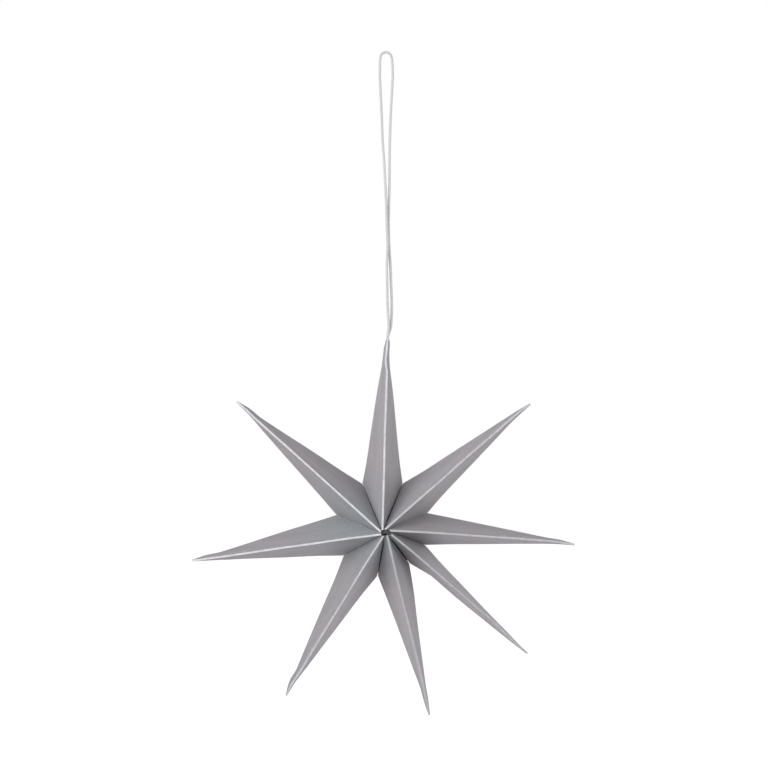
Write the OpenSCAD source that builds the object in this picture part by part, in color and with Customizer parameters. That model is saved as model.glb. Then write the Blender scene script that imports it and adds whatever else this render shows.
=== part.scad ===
// Folded card star that hangs from a cord loop.
//
// Eight hollow arms stand round a small open hole. Each arm is a pair of card leaves.
// A leaf is cut as a chevron and folded once along the arm's outline, so it covers one side
// of the arm, front and back. The two leaves of an arm are glued face to face along a narrow
// strip at the front ridge and at the back ridge, and the strip's cut edges make the pale
// ridge line. Neighbouring arms are glued the same way inside the valley between them.
//
// Millimetres. The star stands in the XZ plane and faces -Y. The origin is where a hook
// bears, at the top inside of the cord loop, and the star hangs below it.

/* [Star] */
// Diameter of the circle that the arm tips reach
star_d = 150; // [120:1:200]
// Diameter of the circle through the notches between the arms
notch_d = 36.5; // [30:0.5:44]
// Depth over the cut edges at the hub, front to back
hub_depth = 34; // [26:1:42]
// Width of the hole that the clipped inner corners leave
hub_hole_d = 2; // [1.6:0.1:5]

/* [Card leaf] */
// Thickness of the card
card_t = 0.35; // [0.25:0.05:0.5]
// Width of the glued strip that stands along each ridge
ridge_strip_w = 1; // [0.6:0.1:1.4]
// Width of the glued strip inside each valley
valley_strip_w = 3; // [1.5:0.5:5]
// Length of the tip where the leaf leaves its straight taper
tip_l = 11; // [6:1:16]
// How much the card's spring widens each side of a tip
tip_swell = 0.4; // [0:0.1:0.6]
// Depth of the blunt end of a tip, front to back
tip_end_depth = 0.7; // [0.4:0.1:1]

/* [Hanging] */
// Height from the star's centre up to the top inside of the loop
hang_drop = 184; // [150:1:260]
// How far the star's centre hangs to the left of the loop's top
hang_shift = 1.2; // [0:0.1:3]
// Diameter of the round cord
cord_d = 0.95; // [0.6:0.05:1.2]
// Room between the cord's tails and the card that closes round them in the top tip
cord_clear = 0.12; // [0.08:0.02:0.3]

/* [Hidden] */
CARD_GREY = "#95959a";
CORD_WHITE = "#eeedeb";

// Arms from the top one round, anticlockwise seen from the front
ARMS = ["top", "upper_left", "left", "lower_left", "bottom", "lower_right", "right", "upper_right"];
TOP_ARM = 0;
// Direction of each arm, in degrees from +X. The last two are 355 and 40 plus a full turn
arm_angles = [88.5, 139, 189.5, 240, 284, 319, 355, 400];
// Direction of the notch that follows each arm. The star was opened by hand, so the steps vary
notch_angles = [113.5, 165, 216, 264.5, 307, 336.5, 377.5, 425.5];
full_turn = 360;
// Length of each arm, as a share of the tip circle's radius
arm_length_shares = [0.985, 1, 1, 1, 1, 0.995, 1, 1];
// Distance of each notch from the centre, as a share of the notch circle's radius
notch_r_shares = [1, 1.03, 1, 1.01, 0.96, 1, 1.02, 1.02];
// How far out each arm's ridge begins, and each valley after it, as shares of the hub hole's radius
hub_clip_shares = [1.1, 1.1, 1.1, 1.1, 1.9, 3.3, 2.6, 1.5];
valley_clip_shares = [1.2, 1.2, 1.2, 1.4, 2.1, 3.1, 2.2, 1.3];
// How much of the card's spring each tip keeps
swell_shares = [1, 1, 1, 1, 0.2, 0, 0.2, 0.8];
// The leaf at the closing seam is pinched towards its ridge, and the others are straight
SEAM_ARM = 5;
seam_pinch_share = 0.55;
// Where the pinched leaf has its kink, as a share of the way from the notch to the tip's taper
waist_share = 0.2;
// Where the tip is widest against its straight taper, as a share of the tip's length
swell_at_share = 0.55;
// Hollow of the top tip, half its width and half its depth, as shares of the radius of the cord
// with its room. The faces slant past both tails, which lie one before the other
hollow_w_share = 1.38;
hollow_depth_share = 3.7;
// How much of the ridge strip's width the top tip keeps
tip_strip_share = 0.4;
// Room between the two strips of one leaf at its clipped inner corner
core_clear = 0.06;

// Cord: both tails are glued in the top tip. The route runs up the front strand and down the
// back one, and its points are chosen by hand. Each is the offset to the right and to the back
// of the straight line from the loop's top to the top tip, in cord diameters, then the share
// of that line's height
cord_route = [
    [-0.21, -0.52, 1.046], [-0.09, -0.52, 1.012], [0.04, -0.52, 0.991], [0.47, -0.52, 0.962],
    [0.33, -0.52, 0.917], [0.07, -0.5, 0.872], [0.03, -0.47, 0.809], [0, -0.47, 0.745],
    [0.38, -0.48, 0.673], [0.17, -0.47, 0.601], [-0.09, -0.34, 0.528], [-0.45, -0.23, 0.456],
    [-0.88, -0.12, 0.384], [-1.44, 0, 0.311], [-1.73, 0, 0.23], [-2.06, 0, 0.158],
    [-2.43, 0, 0.09], [-2.46, 0, 0.05], [-2.4, 0, 0.033], [-2.24, 0, 0.0196],
    [-1.93, 0, 0.0098], [-1.13, 0, 0.0026],
    [0, 0, 0],
    [1.14, 0, 0.0026], [1.96, 0, 0.0098], [2.32, 0, 0.0196],
    [2.54, 0, 0.033], [2.7, 0, 0.05], [2.7, 0, 0.09],
    [2.2, 0, 0.158], [1.73, 0, 0.23], [1.38, 0, 0.311], [1.2, 0.12, 0.384],
    [1.12, 0.23, 0.456], [0.9, 0.34, 0.528], [0.69, 0.47, 0.601], [0.83, 0.48, 0.673],
    [1.31, 0.47, 0.745], [1.54, 0.47, 0.809], [1.78, 0.5, 0.872], [1.69, 0.52, 0.917],
    [1.27, 0.52, 0.962], [0.22, 0.52, 0.991], [-0.09, 0.52, 1.012], [-0.21, 0.52, 1.046]
];
cord_sides = 8;
rings_per_step = 2;

LEAF_SIDES = ["a", "b"];
// Side a of an arm lies anticlockwise of its ridge, seen from the front, and side b clockwise
function leaf_name(arm, side) = str(ARMS[arm], "_leaf_", LEAF_SIDES[side]);

// Leaf geometry. A leaf has its own axes: x along the arm from the hub, y across it from the
// ridge plane to the valley, z forwards. Its back half mirrors its front half in z.

function arm_length(arm) = arm_length_shares[arm] * star_d / 2;
function arm_begin(arm) = hub_clip_shares[arm] * hub_hole_d / 2;
function valley_begin(arm, side) = valley_clip_shares[notch_of(arm, side)] * hub_hole_d / 2;
// Notch beside a leaf: the one after its arm on side a, and the one before it on side b
function notch_of(arm, side) = side == 0 ? arm : (arm + len(ARMS) - 1) % len(ARMS);
function turned(angle) = (angle + full_turn) % full_turn;
function opening(arm, side) = side == 0
    ? turned(notch_angles[arm] - arm_angles[arm])
    : turned(arm_angles[arm] - notch_angles[notch_of(arm, side)]);
function notch_r(arm, side) = notch_r_shares[notch_of(arm, side)] * notch_d / 2;
function pinch(arm, side) = arm == SEAM_ARM && side == 1 ? seam_pinch_share : 1;
// Hollow of the top tip, half its width and half its depth. The other tips are closed
function hollow(arm) = arm == TOP_ARM ? (cord_d / 2 + cord_clear) * [hollow_w_share, hollow_depth_share] : undef;

// Outer skin at a tip: the fold's distance from the ridge plane, and the heights of the ridge
// crease and of the cut edge
function tip_fold_w(hollow) = is_undef(hollow) ? card_t : hollow.x + card_t * norm([1, hollow.x / hollow.y]);
function tip_crease_z(hollow) =
    let (steep = hollow.y / hollow.x)
    hollow.y + card_t * (norm([1, steep]) - steep);
function tip_edge_z(hollow) =
    is_undef(hollow) ? tip_end_depth / 2 : tip_crease_z(hollow) + tip_strip_share * ridge_strip_w;

// Distance at which a closed arm's crease line would reach the fold plane. The outlines of all
// arms close there
function outline_end(length) =
    let (fall = (hub_depth - tip_end_depth) / 2 / length)
    length + (tip_end_depth / 2 - ridge_strip_w * norm([1, fall])) / fall;

// Inner skin of a face that drops from its crease at a height to its fold at a width: where it
// meets the ridge plane, and where it meets the fold plane
function inner_height(height, width, fall) =
    let (steep = height / (width - card_t))
    height + card_t * (steep - norm([1, steep, fall]));
function inner_width(height, width, fall) =
    let (steep = height / (width - card_t))
    width - card_t * norm([1, steep, fall]) / steep;

// Named points of one leaf's front half: those in front of the fold plane, then those in it
function leaf_points(length, begin, valley, radius, open, narrow, swell, hollow) =
    let (
        // Fall of the ridge along the arm, and the ridge's cut edge and crease at a distance x
        fall = (hub_depth / 2 - tip_edge_z(hollow)) / length,
        edge_z = function (x) hub_depth / 2 - x * fall,
        crease_z = function (x) edge_z(x) - ridge_strip_w * norm([1, fall]),
        // Notch corner, and the steepness of the straight face from the ridge down to the fold
        notch = radius * [cos(open), sin(open)],
        steep = crease_z(notch.x) / (notch.y - card_t),
        lean = norm([1, steep, fall]),
        // Stations along the arm: the clipped corner at the ridge and at the valley, the waist, the
        // taper and the swell
        least = (card_t + core_clear) / sin(open),
        x_core = max(begin, least),
        x_valley = max(valley * cos(open), least),
        x_taper = length - tip_l,
        x_waist = notch.x + waist_share * (x_taper - notch.x),
        x_swell = length - tip_l * (1 - swell_at_share),
        end = outline_end(length),
        fold_w = function (x) card_t + narrow * (notch.y - card_t) * (end - x) / (end - notch.x),
        inner_z = function (x) inner_height(crease_z(x), fold_w(x), fall),
        inner_w = function (x) inner_width(crease_z(x), fold_w(x), fall),
        // Valley: outer and inner skins and the strip's cut edge, over the valley plane
        valley_z = function (x) crease_z(x) - steep * (x * tan(open) - card_t),
        strip_y = function (x) x * tan(open) - card_t / cos(open),
        strip_z = function (x) crease_z(x) - steep * (strip_y(x) - card_t) - card_t * lean,
        valley_fall = fall + steep * tan(open),
        strip_drop = valley_strip_w * norm([1, valley_fall * cos(open)]),
        cut_z = function (x) valley_z(x) - strip_drop,
        x_cut = notch.x - strip_drop / valley_fall,
        x_cut_in = x_cut + card_t * sin(open),
        x_inner = x_valley + strip_z(x_valley) / valley_fall,
        swell_w = max(fold_w(x_swell) + swell, tip_fold_w(hollow)),
        swell_inner_z = inner_height(crease_z(x_swell), swell_w, fall),
        swell_inner_w = inner_width(crease_z(x_swell), swell_w, fall)
    )
    concat([
        ["core edge", [x_core, 0, edge_z(x_core)]],
        ["core side", [x_core, card_t, edge_z(x_core)]],
        ["core crease", [x_core, card_t, crease_z(x_core)]],
        ["core inner", [x_core, 0, crease_z(x_core) + card_t * (steep - lean)]],
        ["core valley", [x_valley, x_valley * tan(open), valley_z(x_valley)]],
        ["core cut", [x_valley, x_valley * tan(open), cut_z(x_valley)]],
        ["core cut inner", [x_valley, strip_y(x_valley), cut_z(x_valley - card_t * sin(open))]],
        ["core strip", [x_valley, strip_y(x_valley), strip_z(x_valley)]],

        ["waist edge", [x_waist, 0, edge_z(x_waist)]],
        ["waist side", [x_waist, card_t, edge_z(x_waist)]],
        ["waist crease", [x_waist, card_t, crease_z(x_waist)]],
        ["waist inner", [x_waist, 0, inner_z(x_waist)]],

        ["taper edge", [x_taper, 0, edge_z(x_taper)]],
        ["taper side", [x_taper, card_t, edge_z(x_taper)]],
        ["taper crease", [x_taper, card_t, crease_z(x_taper)]],
        ["taper inner", [x_taper, 0, inner_z(x_taper)]],

        ["swell edge", [x_swell, 0, edge_z(x_swell)]],
        ["swell side", [x_swell, card_t, edge_z(x_swell)]],
        ["swell crease", [x_swell, card_t, crease_z(x_swell)]],

        ["tip edge", [length, 0, edge_z(length)]],
        ["tip side", [length, card_t, edge_z(length)]],

        ["notch", [notch.x, notch.y, 0]],
        ["notch cut", [x_cut, x_cut * tan(open), 0]],
        ["notch cut inner", [x_cut_in, strip_y(x_cut_in), 0]],
        ["notch strip", [x_inner, strip_y(x_inner), 0]],
        ["waist fold", [x_waist, fold_w(x_waist), 0]],
        ["waist fold inner", [x_waist, inner_w(x_waist), 0]],
        ["taper fold", [x_taper, fold_w(x_taper), 0]],
        ["taper fold inner", [x_taper, inner_w(x_taper), 0]],
        ["swell fold", [x_swell, swell_w, 0]],
        ["tip fold", [length, tip_fold_w(hollow), 0]]
    ], is_undef(hollow) ? [
        ["swell close", [x_swell, 0, 0]]
    ] : [
        ["swell inner", [x_swell, 0, swell_inner_z]],
        ["tip inner", [length, 0, hollow.y]],
        ["tip crease", [length, card_t, tip_crease_z(hollow)]],
        ["swell fold inner", [x_swell, swell_inner_w, 0]],
        ["tip fold inner", [length, hollow.x, 0]]
    ]);

// Faces of the front half by the names of their points, anticlockwise seen from outside
HALF_FACES = [
    // Cut edge along the ridge
    ["core edge", "waist edge", "waist side", "core side"],
    ["waist edge", "taper edge", "taper side", "waist side"],
    ["taper edge", "swell edge", "swell side", "taper side"],
    ["swell edge", "tip edge", "tip side", "swell side"],
    // Outer side of the ridge strip
    ["core crease", "core side", "waist side", "waist crease"],
    ["waist crease", "waist side", "taper side", "taper crease"],
    ["taper crease", "taper side", "swell side", "swell crease"],
    // Outer face, from the ridge crease down to the valley and the fold
    ["core crease", "waist crease", "notch", "core valley"],
    ["waist crease", "waist fold", "notch"],
    ["waist crease", "taper crease", "taper fold"],
    ["waist crease", "taper fold", "waist fold"],
    ["taper crease", "swell crease", "swell fold"],
    ["taper crease", "swell fold", "taper fold"],
    // Strip in the valley: glued side, cut edge and inner side
    ["core cut", "core valley", "notch", "notch cut"],
    ["core cut", "notch cut", "notch cut inner", "core cut inner"],
    ["core cut inner", "notch cut inner", "notch strip", "core strip"],
    // Inner face
    ["core inner", "core strip", "notch strip"],
    ["core inner", "notch strip", "waist inner"],
    ["waist inner", "notch strip", "waist fold inner"],
    ["waist inner", "waist fold inner", "taper fold inner"],
    ["waist inner", "taper fold inner", "taper inner"],
    // Glued side of the ridge strip, in the arm's middle plane
    ["core inner", "waist inner", "waist edge", "core edge"],
    ["waist inner", "taper inner", "taper edge", "waist edge"],
    // Clipped corner at the hub
    ["core inner", "core edge", "core side", "core crease"],
    ["core strip", "core inner", "core crease"],
    ["core strip", "core crease", "core valley"],
    ["core cut inner", "core strip", "core valley", "core cut"]
];
// Faces past the taper of a closed tip, which is solid card from the swell on
CLOSED_TIP_FACES = [
    ["swell crease", "swell side", "tip side", "tip fold"],
    ["swell crease", "tip fold", "swell fold"],
    ["taper inner", "taper fold inner", "swell close"],
    ["taper inner", "swell close", "swell edge", "taper edge"],
    ["swell close", "tip edge", "swell edge"]
];
// Those of them that cross the fold plane: the blunt end, and the glued side next to it
CROSS_FACES = [
    ["back tip edge", "back tip side", "tip fold", "tip side", "tip edge"],
    ["swell close", "back tip edge", "tip edge"]
];
// Faces past the taper of a hollow tip, with its open end
HOLLOW_TIP_FACES = [
    ["swell crease", "swell side", "tip side", "tip crease"],
    ["swell crease", "tip crease", "tip fold"],
    ["swell crease", "tip fold", "swell fold"],
    ["taper inner", "taper fold inner", "swell fold inner"],
    ["taper inner", "swell fold inner", "swell inner"],
    ["swell inner", "swell fold inner", "tip fold inner"],
    ["swell inner", "tip fold inner", "tip inner"],
    ["taper inner", "swell inner", "swell edge", "taper edge"],
    ["swell inner", "tip inner", "tip edge", "swell edge"],
    ["tip inner", "tip crease", "tip side", "tip edge"],
    ["tip fold inner", "tip fold", "tip crease", "tip inner"]
];

function reversed(list) = [for (i = [len(list) - 1:-1:0]) list[i]];

// Whole leaf: the front half, the back half mirrored, and the faces between them
module leaf_solid(half, open_tip) {
    front = [for (p = half) if (p[1].z > 0) p];
    back = [for (p = front) [str("back ", p[0]), [p[1].x, p[1].y, -p[1].z]]];
    named = concat(half, back);
    half_faces = concat(HALF_FACES, open_tip ? HOLLOW_TIP_FACES : CLOSED_TIP_FACES);
    back_points = [for (p = half) p[1].z > 0 ? str("back ", p[0]) : p[0]];
    front_faces = [for (f = half_faces) reversed(search(f, named))];
    back_faces = [for (f = half_faces) search([for (i = search(f, half)) back_points[i]], named)];
    cross_faces = [for (f = open_tip ? [] : CROSS_FACES) reversed(search(f, named))];
    polyhedron(points = [for (p = named) p[1]], faces = concat(front_faces, back_faces, cross_faces));
}

// One card leaf in its place in the star
module card_leaf(arm, side) {
    half = leaf_points(
        arm_length(arm),
        arm_begin(arm),
        valley_begin(arm, side),
        notch_r(arm, side),
        opening(arm, side),
        pinch(arm, side),
        tip_swell * swell_shares[arm],
        hollow(arm)
    );
    color(CARD_GREY)
        translate([-hang_shift, 0, -hang_drop])
            rotate([90, 0, 0])
                rotate([0, 0, arm_angles[arm]])
                    mirror([0, side, 0])
                        leaf_solid(half, !is_undef(hollow(arm)));
}

// Cord: a round section swept along a smooth curve through the route's points

// Middle line of the cord at the loop's top, and the top tip
loop_top = [0, 0, cord_d / 2];
top_tip = [
    arm_length(TOP_ARM) * cos(arm_angles[TOP_ARM]) - hang_shift,
    0,
    arm_length(TOP_ARM) * sin(arm_angles[TOP_ARM]) - hang_drop
];
route_points = [for (r = cord_route) loop_top + r.z * (top_tip - loop_top) + cord_d * [r.x, r.y, 0]];
function route_point(i) = route_points[max(0, min(len(route_points) - 1, i))];
// Smooth curve between two route points, shaped by the point before and the point after
function curve_point(i, t) =
    let (
        before = route_point(i - 1),
        from = route_point(i),
        to = route_point(i + 1),
        after = route_point(i + 2)
    )
    (2 * from + t * (to - before) + t * t * (2 * before - 5 * from + 4 * to - after)
        + t * t * t * (3 * from - before - 3 * to + after)) / 2;
cord_line = concat(
    [for (i = [0:len(cord_route) - 2]) for (k = [0:rings_per_step - 1]) curve_point(i, k / rings_per_step)],
    [route_point(len(cord_route) - 1)]
);
function unit(v) = v / norm(v);
function cord_way(i) = unit(cord_line[min(len(cord_line) - 1, i + 1)] - cord_line[max(0, i - 1)]);
function cord_ring(i) =
    let (
        across = unit(cross(cord_way(i), [0, 1, 0])),
        out = cross(across, cord_way(i))
    )
    [for (k = [0:cord_sides - 1])
        let (turn = k * full_turn / cord_sides)
        cord_line[i] + cord_d / 2 * (cos(turn) * across + sin(turn) * out)];

module hanging_cord() {
    rings = len(cord_line);
    points = [for (i = [0:rings - 1]) each cord_ring(i)];
    walls = [for (i = [0:rings - 2]) for (k = [0:cord_sides - 1])
        let (next = (k + 1) % cord_sides)
        [i * cord_sides + k, i * cord_sides + next, (i + 1) * cord_sides + next, (i + 1) * cord_sides + k]];
    start = reversed([for (k = [0:cord_sides - 1]) k]);
    end = [for (k = [0:cord_sides - 1]) (rings - 1) * cord_sides + k];
    color(CORD_WHITE)
        polyhedron(points = points, faces = concat(walls, [start, end]));
}

for (arm = [0:len(ARMS) - 1])
    for (side = [0:1])
        card_leaf(arm, side);
hanging_cord();
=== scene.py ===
"""Dresses a folded card star and its hanging cord in Blender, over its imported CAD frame."""

import math
from types import SimpleNamespace

import bmesh
import bpy
import numpy as np
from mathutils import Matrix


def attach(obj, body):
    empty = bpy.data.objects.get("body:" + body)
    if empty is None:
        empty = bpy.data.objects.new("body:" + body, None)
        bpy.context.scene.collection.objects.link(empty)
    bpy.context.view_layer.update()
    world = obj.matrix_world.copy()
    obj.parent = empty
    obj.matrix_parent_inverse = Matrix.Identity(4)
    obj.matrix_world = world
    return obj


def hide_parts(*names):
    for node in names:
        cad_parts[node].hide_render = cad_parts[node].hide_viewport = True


bl_info = {
    "name": "Folded card star",
    "version": (1, 0, 0),
    "blender": (4, 5, 0),
    "location": "3D View > Sidebar > Card star",
    "description": "Card leaves, waxed cord, camera and studio for a hanging folded card star",
    "category": "Object",
}

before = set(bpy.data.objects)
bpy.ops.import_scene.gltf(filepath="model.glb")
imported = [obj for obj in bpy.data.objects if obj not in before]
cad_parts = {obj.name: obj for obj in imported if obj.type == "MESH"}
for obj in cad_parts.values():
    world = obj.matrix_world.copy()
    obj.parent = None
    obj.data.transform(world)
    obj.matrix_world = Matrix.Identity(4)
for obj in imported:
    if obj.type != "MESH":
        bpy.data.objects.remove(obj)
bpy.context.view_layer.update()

# Arms from the top one round, anticlockwise seen from the front, with the same shares as the
# star's source. Directions are in degrees from +X. Only the notches and the clips at the hub
# stand off the source's, by less than 1 mm each
ARMS = ("top", "upper_left", "left", "lower_left", "bottom", "lower_right", "right", "upper_right")
TOP_ARM = 0
SEAM_ARM = 5
ARM_ANGLES = (88.5, 139, 189.5, 240, 284, 319, 355, 400)
NOTCH_ANGLES = (114.6, 163.8, 214.9, 263.9, 307.3, 338.3, 378.8, 426)
ARM_LENGTH_SHARES = (0.985, 1, 1, 1, 1, 0.995, 1, 1)
NOTCH_R_SHARES = (1.05, 1.03, 1.02, 1.02, 0.945, 0.975, 1.01, 1.05)
HUB_CLIP_SHARES = (1.1, 1.1, 1.1, 1.1, 1.2, 2.8, 2.3, 1.2)
VALLEY_CLIP_SHARES = (1.2, 1.2, 1.2, 1.3, 1.8, 2.7, 2, 1.2)
SWELL_SHARES = (1, 1, 1, 1, 0.2, 0, 0.2, 0.8)
SEAM_PINCH_SHARE = 0.55
WAIST_SHARE = 0.2
SWELL_AT_SHARE = 0.55
HOLLOW_W_SHARE = 1.38
HOLLOW_DEPTH_SHARE = 3.7
TIP_STRIP_SHARE = 0.4
CORE_CLEAR = 0.00006

# How far each front ridge stands to the anticlockwise side of its arm's middle, in millimetres,
# at places given as shares of the arm's length. A hand-glued star swirls a little round its hub
RIDGE_PLACES = (0.05, 0.2, 0.41, 0.62, 0.77, 0.83, 0.87, 0.93, 1)
RIDGE_SHIFTS = (
    (0.52, 0.44, 0.41, 0.28, 0.18, 0.17, 0.63, 0.4, 0.08),
    (0.39, 0.31, 0.12, 0.1, 0.04, 0.03, 0.05, -0.12, 0),
    (0.34, 0.12, 0.13, 0.07, 0.09, 0.14, 0.12, 0.02, 0),
    (0.38, 0.06, 0.04, -0.26, -0.21, -0.13, -0.3, -0.46, 0),
    (0.96, 0.77, 0.65, 0.7, 0.6, 0.49, 0.32, 0.15, 0),
    (1.39, 1.55, 1.31, 1.18, 0.83, 0.41, 0.3, 0.1, 0),
    (1.06, 1.21, 1.18, 1.03, 0.9, 0.88, 0.79, 0.5, 0),
    (0.71, 0.78, 0.73, 0.81, 0.74, 0.77, 0.69, 0.52, 0),
)
# The back ridges stand off by this share of the front's
BACK_SHIFT_SHARE = 0.4
# How far each leaf's fold bulges from its straight taper, in millimetres, at places along the arm
FOLD_PLACES = (0.24, 0.33, 0.52, 0.73, 0.855, 0.93, 1)
FOLD_SHIFTS = (
    ((0, -0.1, 0.3, 0.61, 0.56, 0.38, 0), (0, -0.24, -0.2, -0.06, -0.28, -0.36, 0)),
    ((0, -0.08, -0.05, 0, -0.09, -0.39, 0), (0, -0.14, 0.03, 0, 0.08, 0.37, 0)),
    ((0, -0.15, 0.03, 0.09, 0.22, -0.02, 0), (0, 0, 0.12, 0.02, 0.06, 0.3, 0)),
    ((0, -0.32, -0.28, -0.21, -0.23, -0.6, 0), (0, -0.15, 0.11, 0.34, 0.42, 0.84, 0)),
    ((0, 0.26, 0.16, 0.21, 0.27, 0.44, 0), (0, -0.18, -0.3, -0.24, -0.23, 0.21, 0)),
    ((0, -0.24, -0.19, -0.11, 0.1, 0.1, 0), (0, -0.08, 0.33, 0.4, 0.37, 0.28, 0)),
    ((0, 0.11, 0.3, 0.45, 0.56, 0.78, 0), (0, -0.18, -0.25, -0.34, -0.33, -0.23, 0)),
    ((0, -0.18, 0.12, 0.43, 0.59, 0.45, 0), (0, -0.34, -0.38, -0.37, -0.45, -0.44, 0)),
)
# How far the folds on both sides of each valley round off, in millimetres. Where the leaves were
# glued loosely the valley gapes and looks like a dark line
VALLEY_REACHES = (0.4, 0.12, 0.25, 1.6, 2, 0.4, 0.12, 0.4)
# How far each front leaf stands off the middle of its valley, in millimetres. It grows from
# nothing at the hub and at the notch over the length after it, in metres
VALLEY_GAPS = (0.1, 0, 0.04, 0.14, 0.18, 0.06, 0, 0.15)
VALLEY_GAP_L = 0.004
# How light the two leaves of each arm come out: partly the print's own tone and partly painted
# light, most on the leaves at the lower right. Then how much painted shade darkens them near the
# hub, most in the narrow valleys, as a share
SHEET_TONES_AND_LIGHT = (
    (1.01, 1.04), (0.97, 0.95), (1.09, 0.99), (1.13, 0.95),
    (1.09, 1.03), (1.27, 1.19), (1.04, 1.22), (1.09, 1.1),
)
LEAF_HUB_SHADE = (
    (0, 0.28), (0.04, 0), (0.21, 0), (0.17, 0.06),
    (0.15, 0.19), (0.35, 0.46), (0.02, 0.52), (0, 0.3),
)
# Where the painted shade near the hub begins to thin out and how much further on it ends, as
# shares of the arm
HUB_SHADE_THINS_AT = 0.14
HUB_SHADE_FADE = 0.2
# The open top tip is drawn in round the cord over its last DRAWN_IN_L, by a share of its width.
# Its end slants back by CUT_BACK, in full from CUT_BACK_W off the ridge
DRAWN_IN = 0.36
DRAWN_IN_L = 0.004
CUT_BACK = 0.0013
CUT_BACK_W = 0.0008
# Middle of the cooler cloud in the print
COOL_CLOUD = (-0.0115, -0.01, -0.182)
# Waver of the pale ridge lines: its reach and length in metres, its steps of phase from arm to
# arm and to the back, and the shares of the arm in which it grows and fades
RIDGE_WAVER = 0.00004
WAVER_LENGTH = 0.031
WAVER_ARM_STEP = 1.7
WAVER_BACK_STEP = 2
WAVER_GROWTH = 0.5
WAVER_FADE = 0.2
# How clean each arm's cut edges stayed. The grey print rolled over some of them
EDGE_TONES = (0.92, 0.92, 0.93, 0.77, 0.65, 0.64, 0.74, 0.79)

# Rows of a leaf between its clipped corner, notch, waist, taper, swell and tip
LEAF_ROWS = (14, 8, 26, 8, 8)
NOTCH_ROW = LEAF_ROWS[0]
TAPER_ROW = sum(LEAF_ROWS[:3])
SWELL_ROW = sum(LEAF_ROWS[:4])
# Columns over a face, as shares of the way from the ridge crease to the fold
FACE_STEPS = np.array([0.04, 0.1, 0.2, 0.3, 0.4, 0.5, 0.6, 0.7, 0.8, 0.9, 0.96])
CREASE_STEPS = np.array([0, 0.25, 0.5, 0.75, 1])
# A skin starts with the columns of the cut edge and of the glued strip's middle. The rounded
# crease is next, and its first half, with its middle, has three columns
EDGE_COLUMNS = 2
HALF_CREASE = 3
CREASE_COLUMN = EDGE_COLUMNS + HALF_CREASE - 1
# A crease takes this share of the way to the next line at most, and is sharper on the inside
MOST_REACH = 0.4
INNER_REACH = 0.25
# Rows in which a valley's reach eases to a crease's, and how many come before the notch
REACH_ROWS = 6
REACH_LEAD = 4

# Cord route from the front tail round the loop to the back tail: the offset to the right and to
# the back of the line from the loop's top to the top tip, in cord diameters, then the share of
# that line's height. The first strand lies up to 0.3 mm further left than the source's
CORD_ROUTE = np.array([
    [-0.21, -0.52, 1.046], [-0.09, -0.52, 1.012], [0.04, -0.52, 0.991], [0.4, -0.52, 0.962],
    [0.19, -0.52, 0.917], [-0.06, -0.5, 0.872], [-0.1, -0.47, 0.809], [-0.15, -0.47, 0.745],
    [0.15, -0.48, 0.673], [-0.1, -0.47, 0.601], [-0.3, -0.34, 0.528], [-0.61, -0.23, 0.456],
    [-1.0, -0.12, 0.384], [-1.56, 0, 0.311], [-1.86, 0, 0.23], [-2.18, 0, 0.158],
    [-2.5, 0, 0.09], [-2.46, 0, 0.05], [-2.4, 0, 0.033], [-2.24, 0, 0.0196],
    [-1.93, 0, 0.0098], [-1.13, 0, 0.0026],
    [0, 0, 0],
    [1.14, 0, 0.0026], [1.96, 0, 0.0098], [2.32, 0, 0.0196],
    [2.54, 0, 0.033], [2.7, 0, 0.05], [2.7, 0, 0.09],
    [2.2, 0, 0.158], [1.73, 0, 0.23], [1.38, 0, 0.311], [1.2, 0.12, 0.384],
    [1.12, 0.23, 0.456], [0.9, 0.34, 0.528], [0.69, 0.47, 0.601], [0.83, 0.48, 0.673],
    [1.31, 0.47, 0.745], [1.54, 0.47, 0.809], [1.78, 0.5, 0.872], [1.69, 0.52, 0.917],
    [1.27, 0.52, 0.962], [0.22, 0.52, 0.991], [-0.09, 0.52, 1.012], [-0.21, 0.52, 1.046],
])
# Points of the cord's middle line for a step of its route. Its declared path has every sixth
CORD_STEPS = 24
# Height of the plies over the grooves, as a share of the cord's radius
PLY_RISE = 0.14
CORD_PLIES = 3
SIDES_PER_PLY = 6
# The tube narrows to this share one ring before each closed end
END_RING = 0.85

# Dab of glue: how far its middle lies behind the front ridges' ends and right of the star's,
# its half sizes to the right, to the back and up, and its large and small lumps
GLUE_DEPTH = 0.003
GLUE_RIGHT = 0.0007
GLUE_HALVES = np.array([0.0024, 0.0012, 0.0013])
GLUE_LUMPS = (0.1, 0.05)

# Points this close are merged. Faces that meet at more than these degrees show a sharp edge
MERGE_REACH = 2e-6
FLOOR_MERGE_REACH = 1e-5
CARD_SHARP = 38
CORD_SHARP = 50
GLUE_SHARP = 60

# Studio: what the lamps face, their names, ways and powers in watts, their distance and width,
# the even light, and the floor's height and radius
STAR_MIDDLE = np.array([0, 0, -0.184])
LAMPS = (
    ("soft_left", (-0.85, -0.5, 0.1), 8),
    ("soft_high", (-0.6, -0.5, 0.6), 6.3),
    ("soft_right", (0.85, -0.5, 0.1), 7.7),
    ("soft_low", (0.6, -0.5, -0.6), 7),
)
LAMP_DISTANCE = 1.5
LAMP_WIDTH = 0.9
EVEN_LIGHT = 0.5
FLOOR_Z = -0.36
FLOOR_RADIUS = 1.6
# How much the floor glows for all rays, and how much more where it is seen
FLOOR_GLOW = 0.1
FLOOR_LIFT = 0.5


def linear(hex_colour):
    """The linear red, green and blue of an sRGB hex colour."""
    parts = np.array([int(hex_colour[k:k + 2], 16) / 255 for k in (1, 3, 5)])
    curved = np.where(parts <= 0.04045, parts / 12.92, ((parts + 0.055) / 1.055) ** 2.4)
    return tuple(float(c) for c in curved)


def colour(name, description, hex_colour):
    """A colour property with a default written as an sRGB hex colour."""
    return bpy.props.FloatVectorProperty(
        name=name, description=description, default=linear(hex_colour),
        subtype="COLOR", min=0, max=1,
    )


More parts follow.
